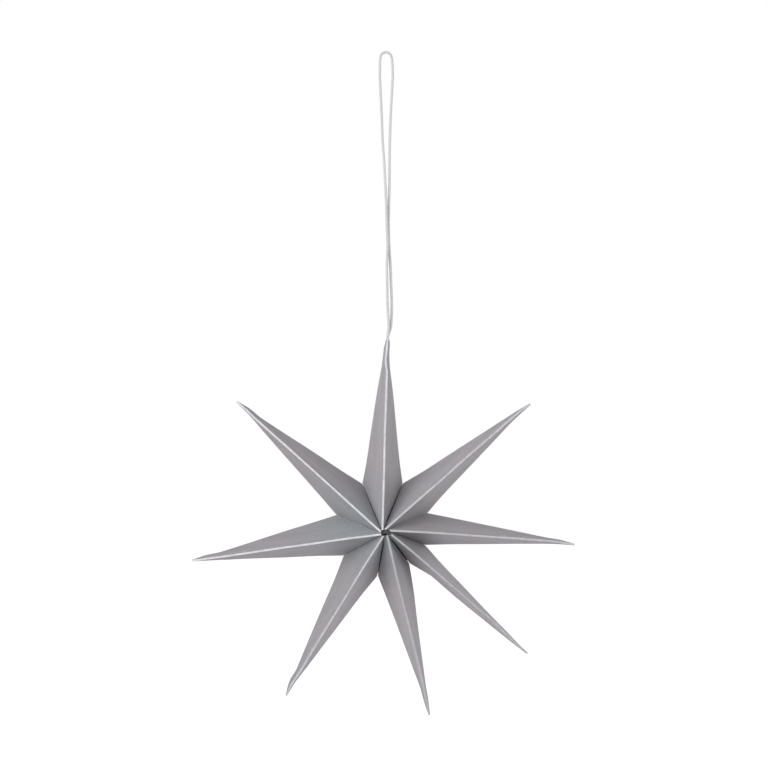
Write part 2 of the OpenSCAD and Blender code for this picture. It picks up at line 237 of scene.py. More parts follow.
def size(name, description, default):
    """A length property in metres."""
    return bpy.props.FloatProperty(
        name=name, description=description, default=default, min=0, unit="LENGTH", precision=5
    )


class CardStarSizes(bpy.types.PropertyGroup):
    """Sizes of the star and its cord. They are the source's own, so the leaves keep its box"""

    star_d: size("Star", "Diameter of the circle that the arm tips reach", 0.15)
    notch_d: size("Notches", "Diameter of the circle through the notches between the arms", 0.0365)
    hub_depth: size("Hub depth", "Depth over the cut edges at the hub, front to back", 0.034)
    hub_hole_d: size("Hub hole", "Width of the hole that the clipped inner corners leave", 0.002)
    card_t: size("Card thickness", "Thickness of the card", 0.00035)
    ridge_strip_w: size("Ridge strip", "Width of the glued strip along each ridge", 0.001)
    valley_strip_w: size("Valley strip", "Width of the glued strip inside each valley", 0.003)
    tip_l: size("Tip length", "Length of the tip where the leaf leaves its straight taper", 0.011)
    tip_swell: size("Tip swell", "How much the card's spring widens each side of a tip", 0.0004)
    tip_end_depth: size("Tip end", "Depth of the blunt end of a tip, front to back", 0.0007)
    crease_reach: size("Crease softness", "How far a crease rounds off on each side", 0.0003)
    face_bow: bpy.props.FloatProperty(
        name="Face bow", description="How far a face bows out, as a share of its width",
        default=0.02, min=0, max=0.1, subtype="FACTOR",
    )
    hang_drop: size("Hanging drop", "From the star's centre up to the loop's top inside", 0.184)
    hang_shift: size("Hanging shift", "How far the centre hangs left of the loop's top", 0.0012)
    cord_d: size("Cord", "Diameter of the round cord", 0.00095)
    cord_clear: size("Cord clearance", "Room between the cord and the card round it", 0.00012)
    cord_lay: size("Cord lay", "Length of cord in which its plies turn once", 0.0026)


class CardStarColours(bpy.types.PropertyGroup):
    """Colours of the star, its cord and the studio"""

    card_grey: colour("Card grey", "Printed grey of the card", "#9b989d")
    card_warm: colour("Card warm grey", "Warmer grey in the print's blotches", "#9e979b")
    card_cool: colour("Card cool grey", "Cooler grey in the print's blotches", "#93999d")
    card_core: colour("Card core", "Raw white board that the cut edges show", "#e6e6ea")
    card_speck: colour("Card specks", "Dark specks of pulp in the card", "#555559")
    cord_white: colour("Cord white", "Waxed cotton of the cord", "#d5d2d6")
    # A greyer colour mixed into the grooves between the cord's plies
    cord_groove_grey: colour("Cord dirt", "Dirt in the grooves between the cord's plies", "#a09e9b")
    # The glue's dark grey is painted shade of the deep hub hole
    glue_shade_grey: colour("Glue grey", "Dusty dried glue in the hub", "#5f5c5d")
    studio_white: colour("Studio white", "Background and floor as the camera sees them", "#ffffff")
    floor_paint: colour("Floor paint", "Matt paint of the floor under the lamps", "#e7e7e7")


# Shapes

def curve_through(x, places, values):
    """A smooth curve through values at places, read at x. Between two places it is the cubic
    whose end slopes are the mean slopes of the steps that meet there."""
    places = np.asarray(places, float)
    values = np.asarray(values, float)
    slopes = np.gradient(values, places)
    k = np.clip(np.searchsorted(places, x) - 1, 0, len(places) - 2)
    step = places[k + 1] - places[k]
    t = (x - places[k]) / step
    return (
        values[k] * (1 + 2 * t) * (1 - t) ** 2
        + slopes[k] * step * t * (1 - t) ** 2
        + values[k + 1] * t ** 2 * (3 - 2 * t)
        + slopes[k + 1] * step * t ** 2 * (t - 1)
    )


def ease(t):
    """Rises from 0 to 1 with level ends: three t squared less two t cubed."""
    t = np.clip(t, 0, 1)
    return t * t * (3 - 2 * t)


def rows_through(stations, counts):
    """Points in even steps along the straight lines from each station to the next."""
    stations = np.asarray(stations, float)
    steps = np.concatenate([[0.0]] + [k + np.arange(1, n + 1) / n for k, n in enumerate(counts)])
    places = np.arange(len(stations))
    return np.column_stack([np.interp(steps, places, stations[:, axis]) for axis in range(3)])


def mirrored(points):
    """The same points with z turned over, from the front half to the back half."""
    return points * np.array([1, 1, -1])


def rounded_corner(before, corner, after, reach):
    """The curve that rounds a crease, row by row. It runs from one reach before the corner to one
    reach after it, as (1-t)^2 start + 2t(1-t) corner + t^2 end."""
    ends = []
    for other in (before, after):
        way = other - corner
        gap = np.linalg.norm(way, axis=1, keepdims=True)
        ends.append(corner + way / np.maximum(gap, 1e-9) * np.minimum(reach, MOST_REACH * gap))
    t = CREASE_STEPS[None, :, None]
    start, corner, end = (points[:, None] for points in (ends[0], corner, ends[1]))
    return (1 - t) ** 2 * start + 2 * t * (1 - t) * corner + t ** 2 * end


def rounded_fold(crease, fold, cut, reach):
    """A skin's rounded fold. It closes on the mirrored half past the notch, and before it the
    glued strip turns into the valley."""
    beyond = mirrored(crease)
    beyond[:NOTCH_ROW] = cut[:NOTCH_ROW]
    return rounded_corner(crease, fold, beyond, reach)


def between(start, end, steps):
    """Straight rows from start to end, at shares of the way."""
    t = np.asarray(steps)[None, :, None]
    return start[:, None] * (1 - t) + end[:, None] * t


def leaf_shape(sizes, arm, side):
    """Lengths and key points of one leaf, by the same formulas as the star's source. Its axes are
    x along the arm from the hub, y across it from the ridge plane to the valley, z forwards."""
    t = sizes.card_t
    length = ARM_LENGTH_SHARES[arm] * sizes.star_d / 2
    notch_index = arm if side == 0 else (arm - 1) % len(ARMS)
    turn = NOTCH_ANGLES[notch_index] - ARM_ANGLES[arm]
    opening = math.radians((turn if side == 0 else -turn) % 360)
    slant = math.tan(opening)
    radius = NOTCH_R_SHARES[notch_index] * sizes.notch_d / 2
    narrow = SEAM_PINCH_SHARE if arm == SEAM_ARM and side == 1 else 1
    hollow = arm == TOP_ARM
    if hollow:
        room = sizes.cord_d / 2 + sizes.cord_clear
        hollow_w, hollow_z = HOLLOW_W_SHARE * room, HOLLOW_DEPTH_SHARE * room
        tip_w = hollow_w + t * math.hypot(1, hollow_w / hollow_z)
        tip_crease_z = hollow_z + t * (math.hypot(1, hollow_z / hollow_w) - hollow_z / hollow_w)
        tip_edge_z = tip_crease_z + TIP_STRIP_SHARE * sizes.ridge_strip_w
    else:
        hollow_w, hollow_z, tip_w, tip_crease_z = 0, 0, t, 0
        tip_edge_z = sizes.tip_end_depth / 2
    fall = (sizes.hub_depth / 2 - tip_edge_z) / length
    closed_fall = (sizes.hub_depth - sizes.tip_end_depth) / 2 / length
    closed_crease_z = sizes.tip_end_depth / 2 - sizes.ridge_strip_w * math.hypot(1, closed_fall)
    end = length + closed_crease_z / closed_fall

    def edge_z(x):
        return sizes.hub_depth / 2 - x * fall

    def crease_z(x):
        return edge_z(x) - sizes.ridge_strip_w * math.hypot(1, fall)

    notch_x = radius * math.cos(opening)
    notch_y = radius * math.sin(opening)
    steep = crease_z(notch_x) / (notch_y - t)
    lean = math.hypot(1, steep, fall)
    least = (t + CORE_CLEAR) / math.sin(opening)
    x_core = max(HUB_CLIP_SHARES[arm] * sizes.hub_hole_d / 2, least)
    valley_clip = VALLEY_CLIP_SHARES[notch_index] * sizes.hub_hole_d / 2
    x_valley = max(valley_clip * math.cos(opening), least)
    x_taper = length - sizes.tip_l
    x_waist = notch_x + WAIST_SHARE * (x_taper - notch_x)
    x_swell = length - sizes.tip_l * (1 - SWELL_AT_SHARE)

    def fold_w(x):
        return t + narrow * (notch_y - t) * (end - x) / (end - notch_x)

    def inner(x, width):
        face_steep = crease_z(x) / (width - t)
        face_lean = math.hypot(1, face_steep, fall)
        return crease_z(x) + t * (face_steep - face_lean), width - t * face_lean / face_steep

    def valley_z(x):
        return crease_z(x) - steep * (x * slant - t)

    def strip_y(x):
        return x * slant - t / math.cos(opening)

    def strip_z(x):
        return crease_z(x) - steep * (strip_y(x) - t) - t * lean

    valley_fall = fall + steep * slant
    strip_drop = sizes.valley_strip_w * math.hypot(1, valley_fall * math.cos(opening))
    x_cut = notch_x - strip_drop / valley_fall
    x_cut_in = x_cut + t * math.sin(opening)
    x_inner = x_valley + strip_z(x_valley) / valley_fall
    swell_w = max(fold_w(x_swell) + sizes.tip_swell * SWELL_SHARES[arm], tip_w)
    stations_x = (x_core, notch_x, x_waist, x_taper, x_swell, length)
    fold_y = (notch_y, fold_w(x_waist), fold_w(x_taper), swell_w, tip_w)
    waist_in = inner(x_waist, fold_w(x_waist))
    taper_in = inner(x_taper, fold_w(x_taper))
    swell_in = inner(x_swell, swell_w) if hollow else (0, 0)
    core_in_z = crease_z(x_core) + t * (steep - lean)
    outer = SimpleNamespace(
        edge=[(x, t, edge_z(x)) for x in stations_x],
        crease=[(x, t, crease_z(x)) for x in stations_x[:-1]] + [(length, t, tip_crease_z)],
        fold=[
            (x_valley, x_valley * slant, valley_z(x_valley)),
            *((x, y, 0) for x, y in zip(stations_x[1:], fold_y)),
        ],
        cut=[
            (x_valley, x_valley * slant, valley_z(x_valley) - strip_drop),
            (x_cut, x_cut * slant, 0),
        ],
    )
    cut_in_z = valley_z(x_valley - t * math.sin(opening)) - strip_drop
    # Over the notch the inner crease lies on the straight line from the core to the waist
    along = (notch_x - x_core) / (x_waist - x_core)
    notch_in_z = core_in_z + along * (waist_in[0] - core_in_z)
    crease_in_z = (core_in_z, notch_in_z, waist_in[0], taper_in[0], swell_in[0], hollow_z)
    fold_in_y = (waist_in[1], taper_in[1], swell_in[1], hollow_w)
    inside = SimpleNamespace(
        edge=[(x, 0, edge_z(x)) for x in stations_x],
        crease=[(x, 0, z) for x, z in zip(stations_x, crease_in_z)],
        fold=[
            (x_valley, strip_y(x_valley), strip_z(x_valley)),
            (x_inner, strip_y(x_inner), 0),
            *((x, y, 0) for x, y in zip(stations_x[2:], fold_in_y)),
        ],
        cut=[(x_valley, strip_y(x_valley), cut_in_z), (x_cut_in, strip_y(x_cut_in), 0)],
    )
    return SimpleNamespace(
        arm=arm, side=side, notch=notch_index, opening=opening, length=length, hollow=hollow,
        outer=outer, inside=inside,
    )


def leaf_lines(sizes, shape, skin, front):
    """The lines that carry one skin of one half leaf: cut edge, ridge crease, fold with valley,
    and the valley strip's cut edge. To the source's straight lines they add the swirl of the hub,
    the waver of the ridge and the bulge of the folds. The last line is the crease unmoved: the
    front and back halves round the fold they share from it, and so they meet."""
    edge = rows_through(skin.edge, LEAF_ROWS)
    straight = rows_through(skin.crease, LEAF_ROWS)
    crease = straight.copy()
    fold = rows_through(skin.fold, LEAF_ROWS)
    cut = rows_through(skin.cut, LEAF_ROWS[:1])
    way = 1 if shape.side == 0 else -1
    share = 1 if front else BACK_SHIFT_SHARE
    for line in (edge, crease):
        place = np.clip(line[:, 0] / shape.length, RIDGE_PLACES[0], 1)
        shift = curve_through(place, RIDGE_PLACES, RIDGE_SHIFTS[shape.arm]) / 1000 * share
        phase = WAVER_ARM_STEP * shape.arm + (0 if front else WAVER_BACK_STEP)
        waver = RIDGE_WAVER * np.sin(2 * np.pi * line[:, 0] / WAVER_LENGTH + phase)
        waver *= ease(place / WAVER_GROWTH) * ease((1 - place) / WAVER_FADE)
        line[:, 1] += way * (shift + waver)
    # The valley plane leans with the two ridges beside it
    hub_shifts = [RIDGE_SHIFTS[k % len(ARMS)][0] for k in (shape.notch, shape.notch + 1)]
    swirl = way * share * np.mean(hub_shifts) / 1000 / (sizes.hub_depth / 2)
    across = np.array([-math.sin(shape.opening), math.cos(shape.opening), 0])
    gap = VALLEY_GAPS[shape.notch] / 1000 if front else 0
    for line in (fold[:NOTCH_ROW + 1], cut):
        line += swirl * line[:, 2:3] * across
        off_hub = np.clip((line[:, 0] - line[0, 0]) / VALLEY_GAP_L, 0, 1)
        off_notch = np.clip(line[:, 2] / VALLEY_GAP_L, 0, 1)
        line -= (gap * off_hub * off_notch)[:, None] * across
    place = np.clip(fold[NOTCH_ROW:, 0] / shape.length, FOLD_PLACES[0], 1)
    bulge = curve_through(place, FOLD_PLACES, FOLD_SHIFTS[shape.arm][shape.side])
    return edge, crease, fold, cut, straight, bulge / 1000


def fold_reach(sizes, shape):
    """How far the fold rounds off, row by row: the valley's own reach at first, which eases to
    the plain crease reach round the notch."""
    row = np.arange(sum(LEAF_ROWS) + 1)[:, None]
    valley = VALLEY_REACHES[shape.notch] / 1000
    turn = ease((row - NOTCH_ROW + REACH_LEAD) / REACH_ROWS)
    return valley + (sizes.crease_reach - valley) * turn


def drawn_in(sizes, shape, points):
    """The open tip closes round the cord: beyond the glued strip the width shrinks by DRAWN_IN
    times the eased way to the end, and the end slants back towards the fold."""
    if not shape.hollow:
        return points
    points = points.copy()
    wide = np.maximum(points[..., 1] - sizes.card_t, 0)
    far = np.clip((points[..., 0] - shape.length) / DRAWN_IN_L + 1, 0, 1)
    points[..., 1] -= wide * DRAWN_IN * ease(far)
    points[..., 0] -= CUT_BACK * far * np.clip(wide / CUT_BACK_W, 0, 1)
    return points


def bowed_face(sizes, start, end, crease, fold):
    """The face between its two rounded borders. It bows out from the straight line by
    4 b s (1 - s) times its width, with s the share of the way and b the face bow."""
    span = fold - crease
    width = np.linalg.norm(span, axis=1, keepdims=True)
    normal = np.column_stack([np.zeros(len(span)), -span[:, 2], span[:, 1]])
    normal /= np.maximum(width, 1e-6)
    bow = sizes.face_bow * 4 * FACE_STEPS * (1 - FACE_STEPS)
    return between(start, end, FACE_STEPS) + (normal * width)[:, None] * bow[None, :, None]


def from_edge(edge, ridge):
    """Columns from the cut edge over the middle of the glued strip to the ridge's own."""
    return np.concatenate([edge[:, None], between(edge, ridge[:, 0], [0.5]), ridge], axis=1)


def valley_strip(skin, rim, cut):
    """Columns from a skin's last one, in the middle of the rounded valley, over the rest of it to
    the strip's cut edge. The last row ends at the notch, on the middle plane."""
    rows = slice(0, NOTCH_ROW + 1)
    middle = between(rim[rows, -1], cut, [0.5])
    strip = [skin[rows, -1:], rim[rows, HALF_CREASE:], middle, cut[:, None]]
    strip = np.concatenate(strip, axis=1)
    strip[-1, :, 2] = 0
    return strip


def outer_skin(sizes, shape, front):
    """Outer skin of a half leaf: rows run from hub to tip, and columns from the cut edge over the
    ridge crease and the face to the fold. Gives this grid and the valley strip's."""
    edge, crease, fold, cut, straight, bulge = leaf_lines(sizes, shape, shape.outer, front)
    places, widths, _ = zip(*shape.outer.fold[2:])
    fold[TAPER_ROW:, 1] = curve_through(fold[TAPER_ROW:, 0], places, widths)
    fold[NOTCH_ROW:, 1] += bulge
    ridge = rounded_corner(edge, crease, fold, sizes.crease_reach)
    rim = rounded_fold(straight, fold, cut, fold_reach(sizes, shape))
    face = bowed_face(sizes, ridge[:, -1], rim[:, 0], crease, fold)
    grid = np.concatenate([from_edge(edge, ridge), face, rim[:, :HALF_CREASE]], axis=1)
    if not shape.hollow:
        grid[-1, CREASE_COLUMN:] = crease[-1]
    return drawn_in(sizes, shape, grid), valley_strip(grid, rim, cut)


def inner_skin(sizes, shape, front):
    """Inner skin of a half leaf, in the same columns. From the swell on, a closed tip is solid
    card, and its glued side runs on to the fold plane. The hollow tip stays open to its end.
    Gives the glued side, the face and the strip."""
    edge, crease, fold, cut, straight, bulge = leaf_lines(sizes, shape, shape.inside, front)
    fold[NOTCH_ROW:, 1] += bulge
    beyond = fold.copy()
    if not shape.hollow:
        crease[SWELL_ROW:] = straight[SWELL_ROW:]
        beyond[SWELL_ROW:] = mirrored(edge)[SWELL_ROW:]
    reach = sizes.crease_reach * INNER_REACH
    ridge = rounded_corner(edge, crease, beyond, reach)
    rim = rounded_fold(straight, fold, cut, reach)
    glued = from_edge(edge, ridge[:, :HALF_CREASE])
    face = bowed_face(sizes, ridge[:, -1], rim[:, 0], crease, fold)
    face = np.concatenate([ridge[:, HALF_CREASE - 1:], face, rim[:, :HALF_CREASE]], axis=1)
    if not shape.hollow:
        glued[SWELL_ROW:, -1] = straight[SWELL_ROW:]
        face = face[:SWELL_ROW + 1]
        face[-1] = glued[SWELL_ROW, -1]
    strip = valley_strip(face, rim, cut)
    return drawn_in(sizes, shape, glued), drawn_in(sizes, shape, face), strip


def leaf_patches(sizes, shape):
    """Grids that close a leaf: both skins of both halves, and the raw edges between the skins.
    Each patch is its points, its material, how far each point is worn along a crease, and its
    tone: the sheet's own with painted light, less painted shade near the hub, which fades out by a
    third of the arm."""
    printed, raw = 0, 1
    sheet_tone_and_light = SHEET_TONES_AND_LIGHT[shape.arm][shape.side]
    painted_shade = LEAF_HUB_SHADE[shape.arm][shape.side]
    patches = []
    for front in (True, False):
        outer, outer_strip = outer_skin(sizes, shape, front)
        glued, face, inner_strip = inner_skin(sizes, shape, front)
        wear = np.zeros(outer.shape[:2])
        wear[:, EDGE_COLUMNS:EDGE_COLUMNS + len(CREASE_STEPS)] = 1
        wear[:, -HALF_CREASE:] = 1
        parts = [
            (outer, printed, wear),
            (outer_strip, printed, None),
            (glued, printed, None),
            (face, printed, None),
            (inner_strip, printed, None),
            (np.stack([outer[:, 0], glued[:, 0]], axis=1), raw, None),
            (np.stack([outer_strip[:, -1], inner_strip[:, -1]], axis=1), raw, None),
        ]
        if shape.hollow:
            tip_end = (outer[-1], np.concatenate([glued[-1], face[-1, 1:]]))
        else:
            tip_end = (outer[-1, :CREASE_COLUMN + 1], glued[-1])
        parts.append((np.stack(tip_end, axis=1), raw, None))
        outer_end = np.concatenate([outer[0], outer_strip[0, 1:]])
        inner_end = np.concatenate([glued[0], face[0, 1:], inner_strip[0, 1:]])
        parts.append((np.stack([outer_end, inner_end], axis=1), raw, None))
        for points, material, worn in parts:
            # Painted light and shade: the tone lifts some sheets and darkens each leaf near the
            # hub
            far = ease((points[..., 0] / shape.length - HUB_SHADE_THINS_AT) / HUB_SHADE_FADE)
            tone = sheet_tone_and_light * (1 - painted_shade * (1 - far))
            patches.append((points if front else mirrored(points), material, worn, tone))
    return patches


def grid_faces(rows, columns, first):
    """Quads of a grid whose points are numbered row by row from first."""
    index = first + np.arange(rows * columns).reshape(rows, columns)
    corners = (index[:-1, :-1], index[1:, :-1], index[1:, 1:], index[:-1, 1:])
    return np.stack([c.ravel() for c in corners], axis=1)


def grid_uv(points):
    """Metres along a grid's rows and across its columns, for every point."""
    along = np.linalg.norm(np.diff(points.mean(axis=1), axis=0), axis=1)
    across = np.linalg.norm(np.diff(points, axis=1), axis=2)
    u = np.concatenate([[0], np.cumsum(along)])[:, None] + np.zeros(points.shape[:2])
    v = np.concatenate([np.zeros((len(points), 1)), np.cumsum(across, axis=1)], axis=1)
    return np.stack([u, v], axis=2)


def merge(mesh, reach, inside_out):
    """Merges a mesh's points within reach, and turns its faces all one way, or all the other
    way where inside_out finds them wrong."""
    work = bmesh.new()
    work.from_mesh(mesh)
    bmesh.ops.remove_doubles(work, verts=work.verts, dist=reach)
    bmesh.ops.recalc_face_normals(work, faces=work.faces)
    if inside_out(work):
        bmesh.ops.reverse_faces(work, faces=work.faces)
    work.to_mesh(mesh)
    work.free()


def closed_mesh(name, patches, sharp_angle, edge_tone=1):
    """One closed mesh from grids that share their borders, each with its material, wear and
    tone. Its faces point outwards, and its edge tone is the same all over."""
    first = 0
    faces = []
    material_index = []
    for points, material, _, _ in patches:
        rows, columns = points.shape[:2]
        faces.append(grid_faces(rows, columns, first))
        material_index.append(np.full(len(faces[-1]), material))
        first += rows * columns
    points = np.concatenate([p[0].reshape(-1, 3) for p in patches])
    uv = np.concatenate([grid_uv(p[0]).reshape(-1, 2) for p in patches])
    faces = np.concatenate(faces)
    mesh = bpy.data.meshes.new(name)
    mesh.from_pydata(points, [], faces)
    mesh.polygons.foreach_set("material_index", np.concatenate(material_index))
    mesh.uv_layers.new(name="sheet").data.foreach_set("uv", uv[faces.ravel()].ravel())
    for attribute, k in (("wear", 2), ("tone", 3)):
        values = [np.zeros(p[0].shape[:2]) if p[k] is None else p[k] for p in patches]
        values = np.concatenate([v.ravel() for v in values])
        mesh.attributes.new(attribute, "FLOAT", "POINT").data.foreach_set("value", values)
    merge(mesh, MERGE_REACH, lambda work: work.calc_volume(signed=True) < 0)
    tone = mesh.attributes.new("edge_tone", "FLOAT", "POINT")
    tone.data.foreach_set("value", np.full(len(mesh.vertices), float(edge_tone)))
    mesh.shade_smooth()
    mesh.set_sharp_from_angle(angle=math.radians(sharp_angle))
    return mesh


def placed(sizes, shape, points):
    """Points of a leaf in the star: centre + x along the arm + y across it - z to the front."""
    angle = math.radians(ARM_ANGLES[shape.arm])
    along = np.array([math.cos(angle), 0, math.sin(angle)])
    across = np.array([-math.sin(angle), 0, math.cos(angle)]) * (1 if shape.side == 0 else -1)
    axes = np.stack([along, across, np.array([0, -1, 0])])
    return points @ axes + np.array([-sizes.hang_shift, 0, -sizes.hang_drop])


def cord_path(sizes):
    """Middle line of the cord: a smooth curve through the route's points, each shaped by the
    point before and the point after, in even steps of its own number."""
    angle = math.radians(ARM_ANGLES[TOP_ARM])
    length = ARM_LENGTH_SHARES[TOP_ARM] * sizes.star_d / 2
    top = np.array([0, 0, sizes.cord_d / 2])
    tip = np.array([
        length * math.cos(angle) - sizes.hang_shift, 0, length * math.sin(angle) - sizes.hang_drop
    ])
    route = top + CORD_ROUTE[:, 2:3] * (tip - top)
    route[:, :2] += CORD_ROUTE[:, :2] * sizes.cord_d
    padded = np.concatenate([route[:1], route, route[-1:]])
    t = (np.arange(CORD_STEPS) / CORD_STEPS)[None, :, None]
    before, start, stop, after = (padded[k:len(padded) - 3 + k, None] for k in range(4))
    curve = (
        2 * start + t * (stop - before) + t ** 2 * (2 * before - 5 * start + 4 * stop - after)
        + t ** 3 * (3 * start - before - 3 * stop + after)
    ) / 2
    return np.concatenate([curve.reshape(-1, 3), route[-1:]]), tip


def path_length(path):
    """Metres along a path, at each of its points."""
    return np.concatenate([[0], np.cumsum(np.linalg.norm(np.diff(path, axis=0), axis=1))])


def twisted_cord(path, diameter, lay):
    """Tube of laid plies along a path. The radius at an angle is the cord's own in the grooves
    and more on the plies, as R (1 + PLY_RISE |cos(plies (angle - turn) / 2)|), and turn grows by
    a full circle for each lay. Both ends close to a point."""
    sides = CORD_PLIES * SIDES_PER_PLY
    along = path_length(path)
    way = np.gradient(path, along, axis=0)
    way /= np.linalg.norm(way, axis=1, keepdims=True)
    across = np.cross(way, [0, 1, 0])
    across /= np.linalg.norm(across, axis=1, keepdims=True)
    out = np.cross(across, way)
    angle = 2 * np.pi * np.arange(sides + 1)[None] / sides
    turn = 2 * np.pi * along[:, None] / lay
    radius = diameter / 2 * (1 + PLY_RISE * np.abs(np.cos(CORD_PLIES * (angle - turn) / 2)))
    radius[[0, -1]] = 0
    radius[[1, -2]] *= END_RING
    return path[:, None] + radius[..., None] * (
        np.cos(angle)[..., None] * across[:, None] + np.sin(angle)[..., None] * out[:, None]
    )


def glue_dab(sizes):
    """A lumpy dab behind the front ridges' ends: an ellipsoid whose radius varies as
    1 + large sin(3 round + 1) sin(2 high) + small sin(7 round) sin(high)."""
    large, small = GLUE_LUMPS
    high = np.linspace(0, np.pi, 33)[:, None]
    turn = np.linspace(0, 2 * np.pi, 49)[None]
    radius = 1 + large * np.sin(3 * turn + 1) * np.sin(2 * high)
    radius += small * np.sin(7 * turn) * np.sin(high)
    way = [np.sin(high) * np.cos(turn), np.cos(high) + 0 * turn, np.sin(high) * np.sin(turn)]
    middle = [GLUE_RIGHT - sizes.hang_shift, GLUE_DEPTH - sizes.hub_depth / 2, -sizes.hang_drop]
    return np.array(middle) + radius[..., None] * np.stack(way, axis=2) * GLUE_HALVES


# Materials

def add(tree, kind, inputs=None, **settings):
    """Adds a node with its settings. An input is a value, or the output of another node to link,
    or that node, for its first output in use."""
    node = tree.nodes.new(kind)
    for name, value in settings.items():
        setattr(node, name, value)
    for key, value in (inputs or {}).items():
        if isinstance(value, bpy.types.Node):
            value = next(output for output in value.outputs if output.enabled)
        if isinstance(value, bpy.types.NodeSocket):
            tree.links.new(value, node.inputs[key])
        else:
            node.inputs[key].default_value = value
    return node


def new_material(name, surface):
    """A node material whose surface is the shader that surface(tree, colours) adds."""
    material = bpy.data.materials.new(name)
    material.use_nodes = True
    tree = material.node_tree
    tree.nodes.clear()
    shader = surface(tree, bpy.context.scene.card_star_colours)
    add(tree, "ShaderNodeOutputMaterial", {"Surface": shader})
    return material


def opaque(rgb):
    """A colour with full alpha, as colour sockets take it."""
    return (*rgb, 1)


def as_seen(tree):
    """Node that gives 1 to camera, glossy and transmission rays, and 0 to the light's own."""
    rays = add(tree, "ShaderNodeLightPath").outputs
    seen = add(tree, "ShaderNodeMath", {
        0: rays["Is Camera Ray"], 1: rays["Is Glossy Ray"]}, operation="ADD")
    return add(tree, "ShaderNodeMath", {
        0: seen, 1: rays["Is Transmission Ray"]}, operation="ADD", use_clamp=True)


# Settings of a colour mix: plain, and one colour times the other
MIX = {"data_type": "RGBA"}
TIMES = {"data_type": "RGBA", "blend_type": "MULTIPLY"}
# The part of a noise that holds nearly all its values
NOISE_RANGE = {"From Min": 0.3, "From Max": 0.7}


def printed_card(tree, colours):
    """Coated board of 300 g, printed grey and lacquered matt. The print is cloudy at about 12 mm,
    the sheet cockles at about 9 mm, and its tooth breaks the light into a dull, even sheen. Paper
    tooth is about 0.1 mm and is drawn at 0.7 mm so that it shows. Creases crack the print a
    little and let the pale board through."""
    spot = add(tree, "ShaderNodeTexCoord").outputs["Object"]
    clouds = add(tree, "ShaderNodeTexNoise", {
        "Vector": spot, "Scale": 85, "Detail": 3, "Roughness": 0.55})
    drift = add(tree, "ShaderNodeTexNoise", {"Vector": spot, "Scale": 48, "Detail": 1})
    cockle = add(tree, "ShaderNodeTexNoise", {"Vector": spot, "Scale": 110, "Detail": 2})
    tooth = add(tree, "ShaderNodeTexNoise", {
        "Vector": spot, "Scale": 1400, "Detail": 3, "Roughness": 0.6})
    warm = add(tree, "ShaderNodeMapRange", {
        "Value": clouds, "From Min": 0.35, "From Max": 0.65, "To Max": 0.4})
    # One cooler cloud lies left of the hub and ends some 20 mm from its middle
    cloud = add(tree, "ShaderNodeVectorMath", {0: spot, 1: COOL_CLOUD}, operation="DISTANCE")
    cloud = add(tree, "ShaderNodeMath", {
        0: drift, 1: 0.02, 2: cloud.outputs["Value"]}, operation="MULTIPLY_ADD")
    cool = add(tree, "ShaderNodeMapRange", {
        "Value": cloud, "From Min": 0.017, "From Max": 0.032, "To Min": 0.85, "To Max": 0})
    base = add(tree, "ShaderNodeMix", {
        0: warm, 6: opaque(colours.card_grey), 7: opaque(colours.card_warm)}, **MIX)
    base = add(tree, "ShaderNodeMix", {0: cool, 6: base, 7: opaque(colours.card_cool)}, **MIX)
    grain = add(tree, "ShaderNodeMapRange", {
        "Value": tooth, **NOISE_RANGE, "To Min": 0.93, "To Max": 1.05})
    base = add(tree, "ShaderNodeMix", {0: 1, 6: base, 7: grain}, **TIMES)
    # The coating roller leaves faint streaks along the sheet, 1 mm apart and some 25 mm long
    sheet = add(tree, "ShaderNodeUVMap", uv_map="sheet")
    drawn = add(tree, "ShaderNodeMapping", {"Vector": sheet, "Scale": (40, 1000, 1)})
    streaks = add(tree, "ShaderNodeTexNoise", {"Vector": drawn, "Scale": 1, "Detail": 1})
    coat = add(tree, "ShaderNodeMapRange", {
        "Value": streaks, **NOISE_RANGE, "To Min": 0.92, "To Max": 1.06})
    base = add(tree, "ShaderNodeMix", {0: 1, 6: base, 7: coat}, **TIMES)
    # Specks of 0.3 mm in the pulp, one in most squares of 9 mm
    pulp = add(tree, "ShaderNodeTexVoronoi", {"Vector": spot, "Scale": 110})
    speck = add(tree, "ShaderNodeMapRange", {
        "Value": pulp.outputs["Distance"],
        "From Min": 0.015, "From Max": 0.03, "To Min": 0.22, "To Max": 0})
    base = add(tree, "ShaderNodeMix", {0: speck, 6: base, 7: opaque(colours.card_speck)}, **MIX)
    # The tone attribute holds each leaf's print tone with painted light, and painted shade near
    # the hub
    tone = add(tree, "ShaderNodeAttribute", attribute_name="tone").outputs["Fac"]
    base = add(tree, "ShaderNodeMix", {0: 1, 6: base, 7: tone}, **TIMES)
    worn = add(tree, "ShaderNodeAttribute", attribute_name="wear").outputs["Fac"]
    scuff = add(tree, "ShaderNodeTexNoise", {"Vector": spot, "Scale": 600, "Detail": 2})
    rubbed = add(tree, "ShaderNodeMapRange", {
        "Value": scuff, "From Min": 0.4, "From Max": 0.7, "To Max": 0.22})
    crack = add(tree, "ShaderNodeMath", {0: worn, 1: rubbed}, operation="MULTIPLY")
    base = add(tree, "ShaderNodeMix", {0: crack, 6: base, 7: opaque(colours.card_core)}, **MIX)
    dull = add(tree, "ShaderNodeMapRange", {"Value": tooth, "To Min": 0.68, "To Max": 0.84})
    waves = add(tree, "ShaderNodeBump", {"Height": cockle, "Strength": 0.35, "Distance": 0.0004})
    bumps = add(tree, "ShaderNodeBump", {
        "Height": tooth, "Strength": 0.25, "Distance": 0.00004, "Normal": waves})
    return add(tree, "ShaderNodeBsdfPrincipled", {
        "Base Color": base, "Roughness": dull, "Normal": bumps, "IOR": 1.5})


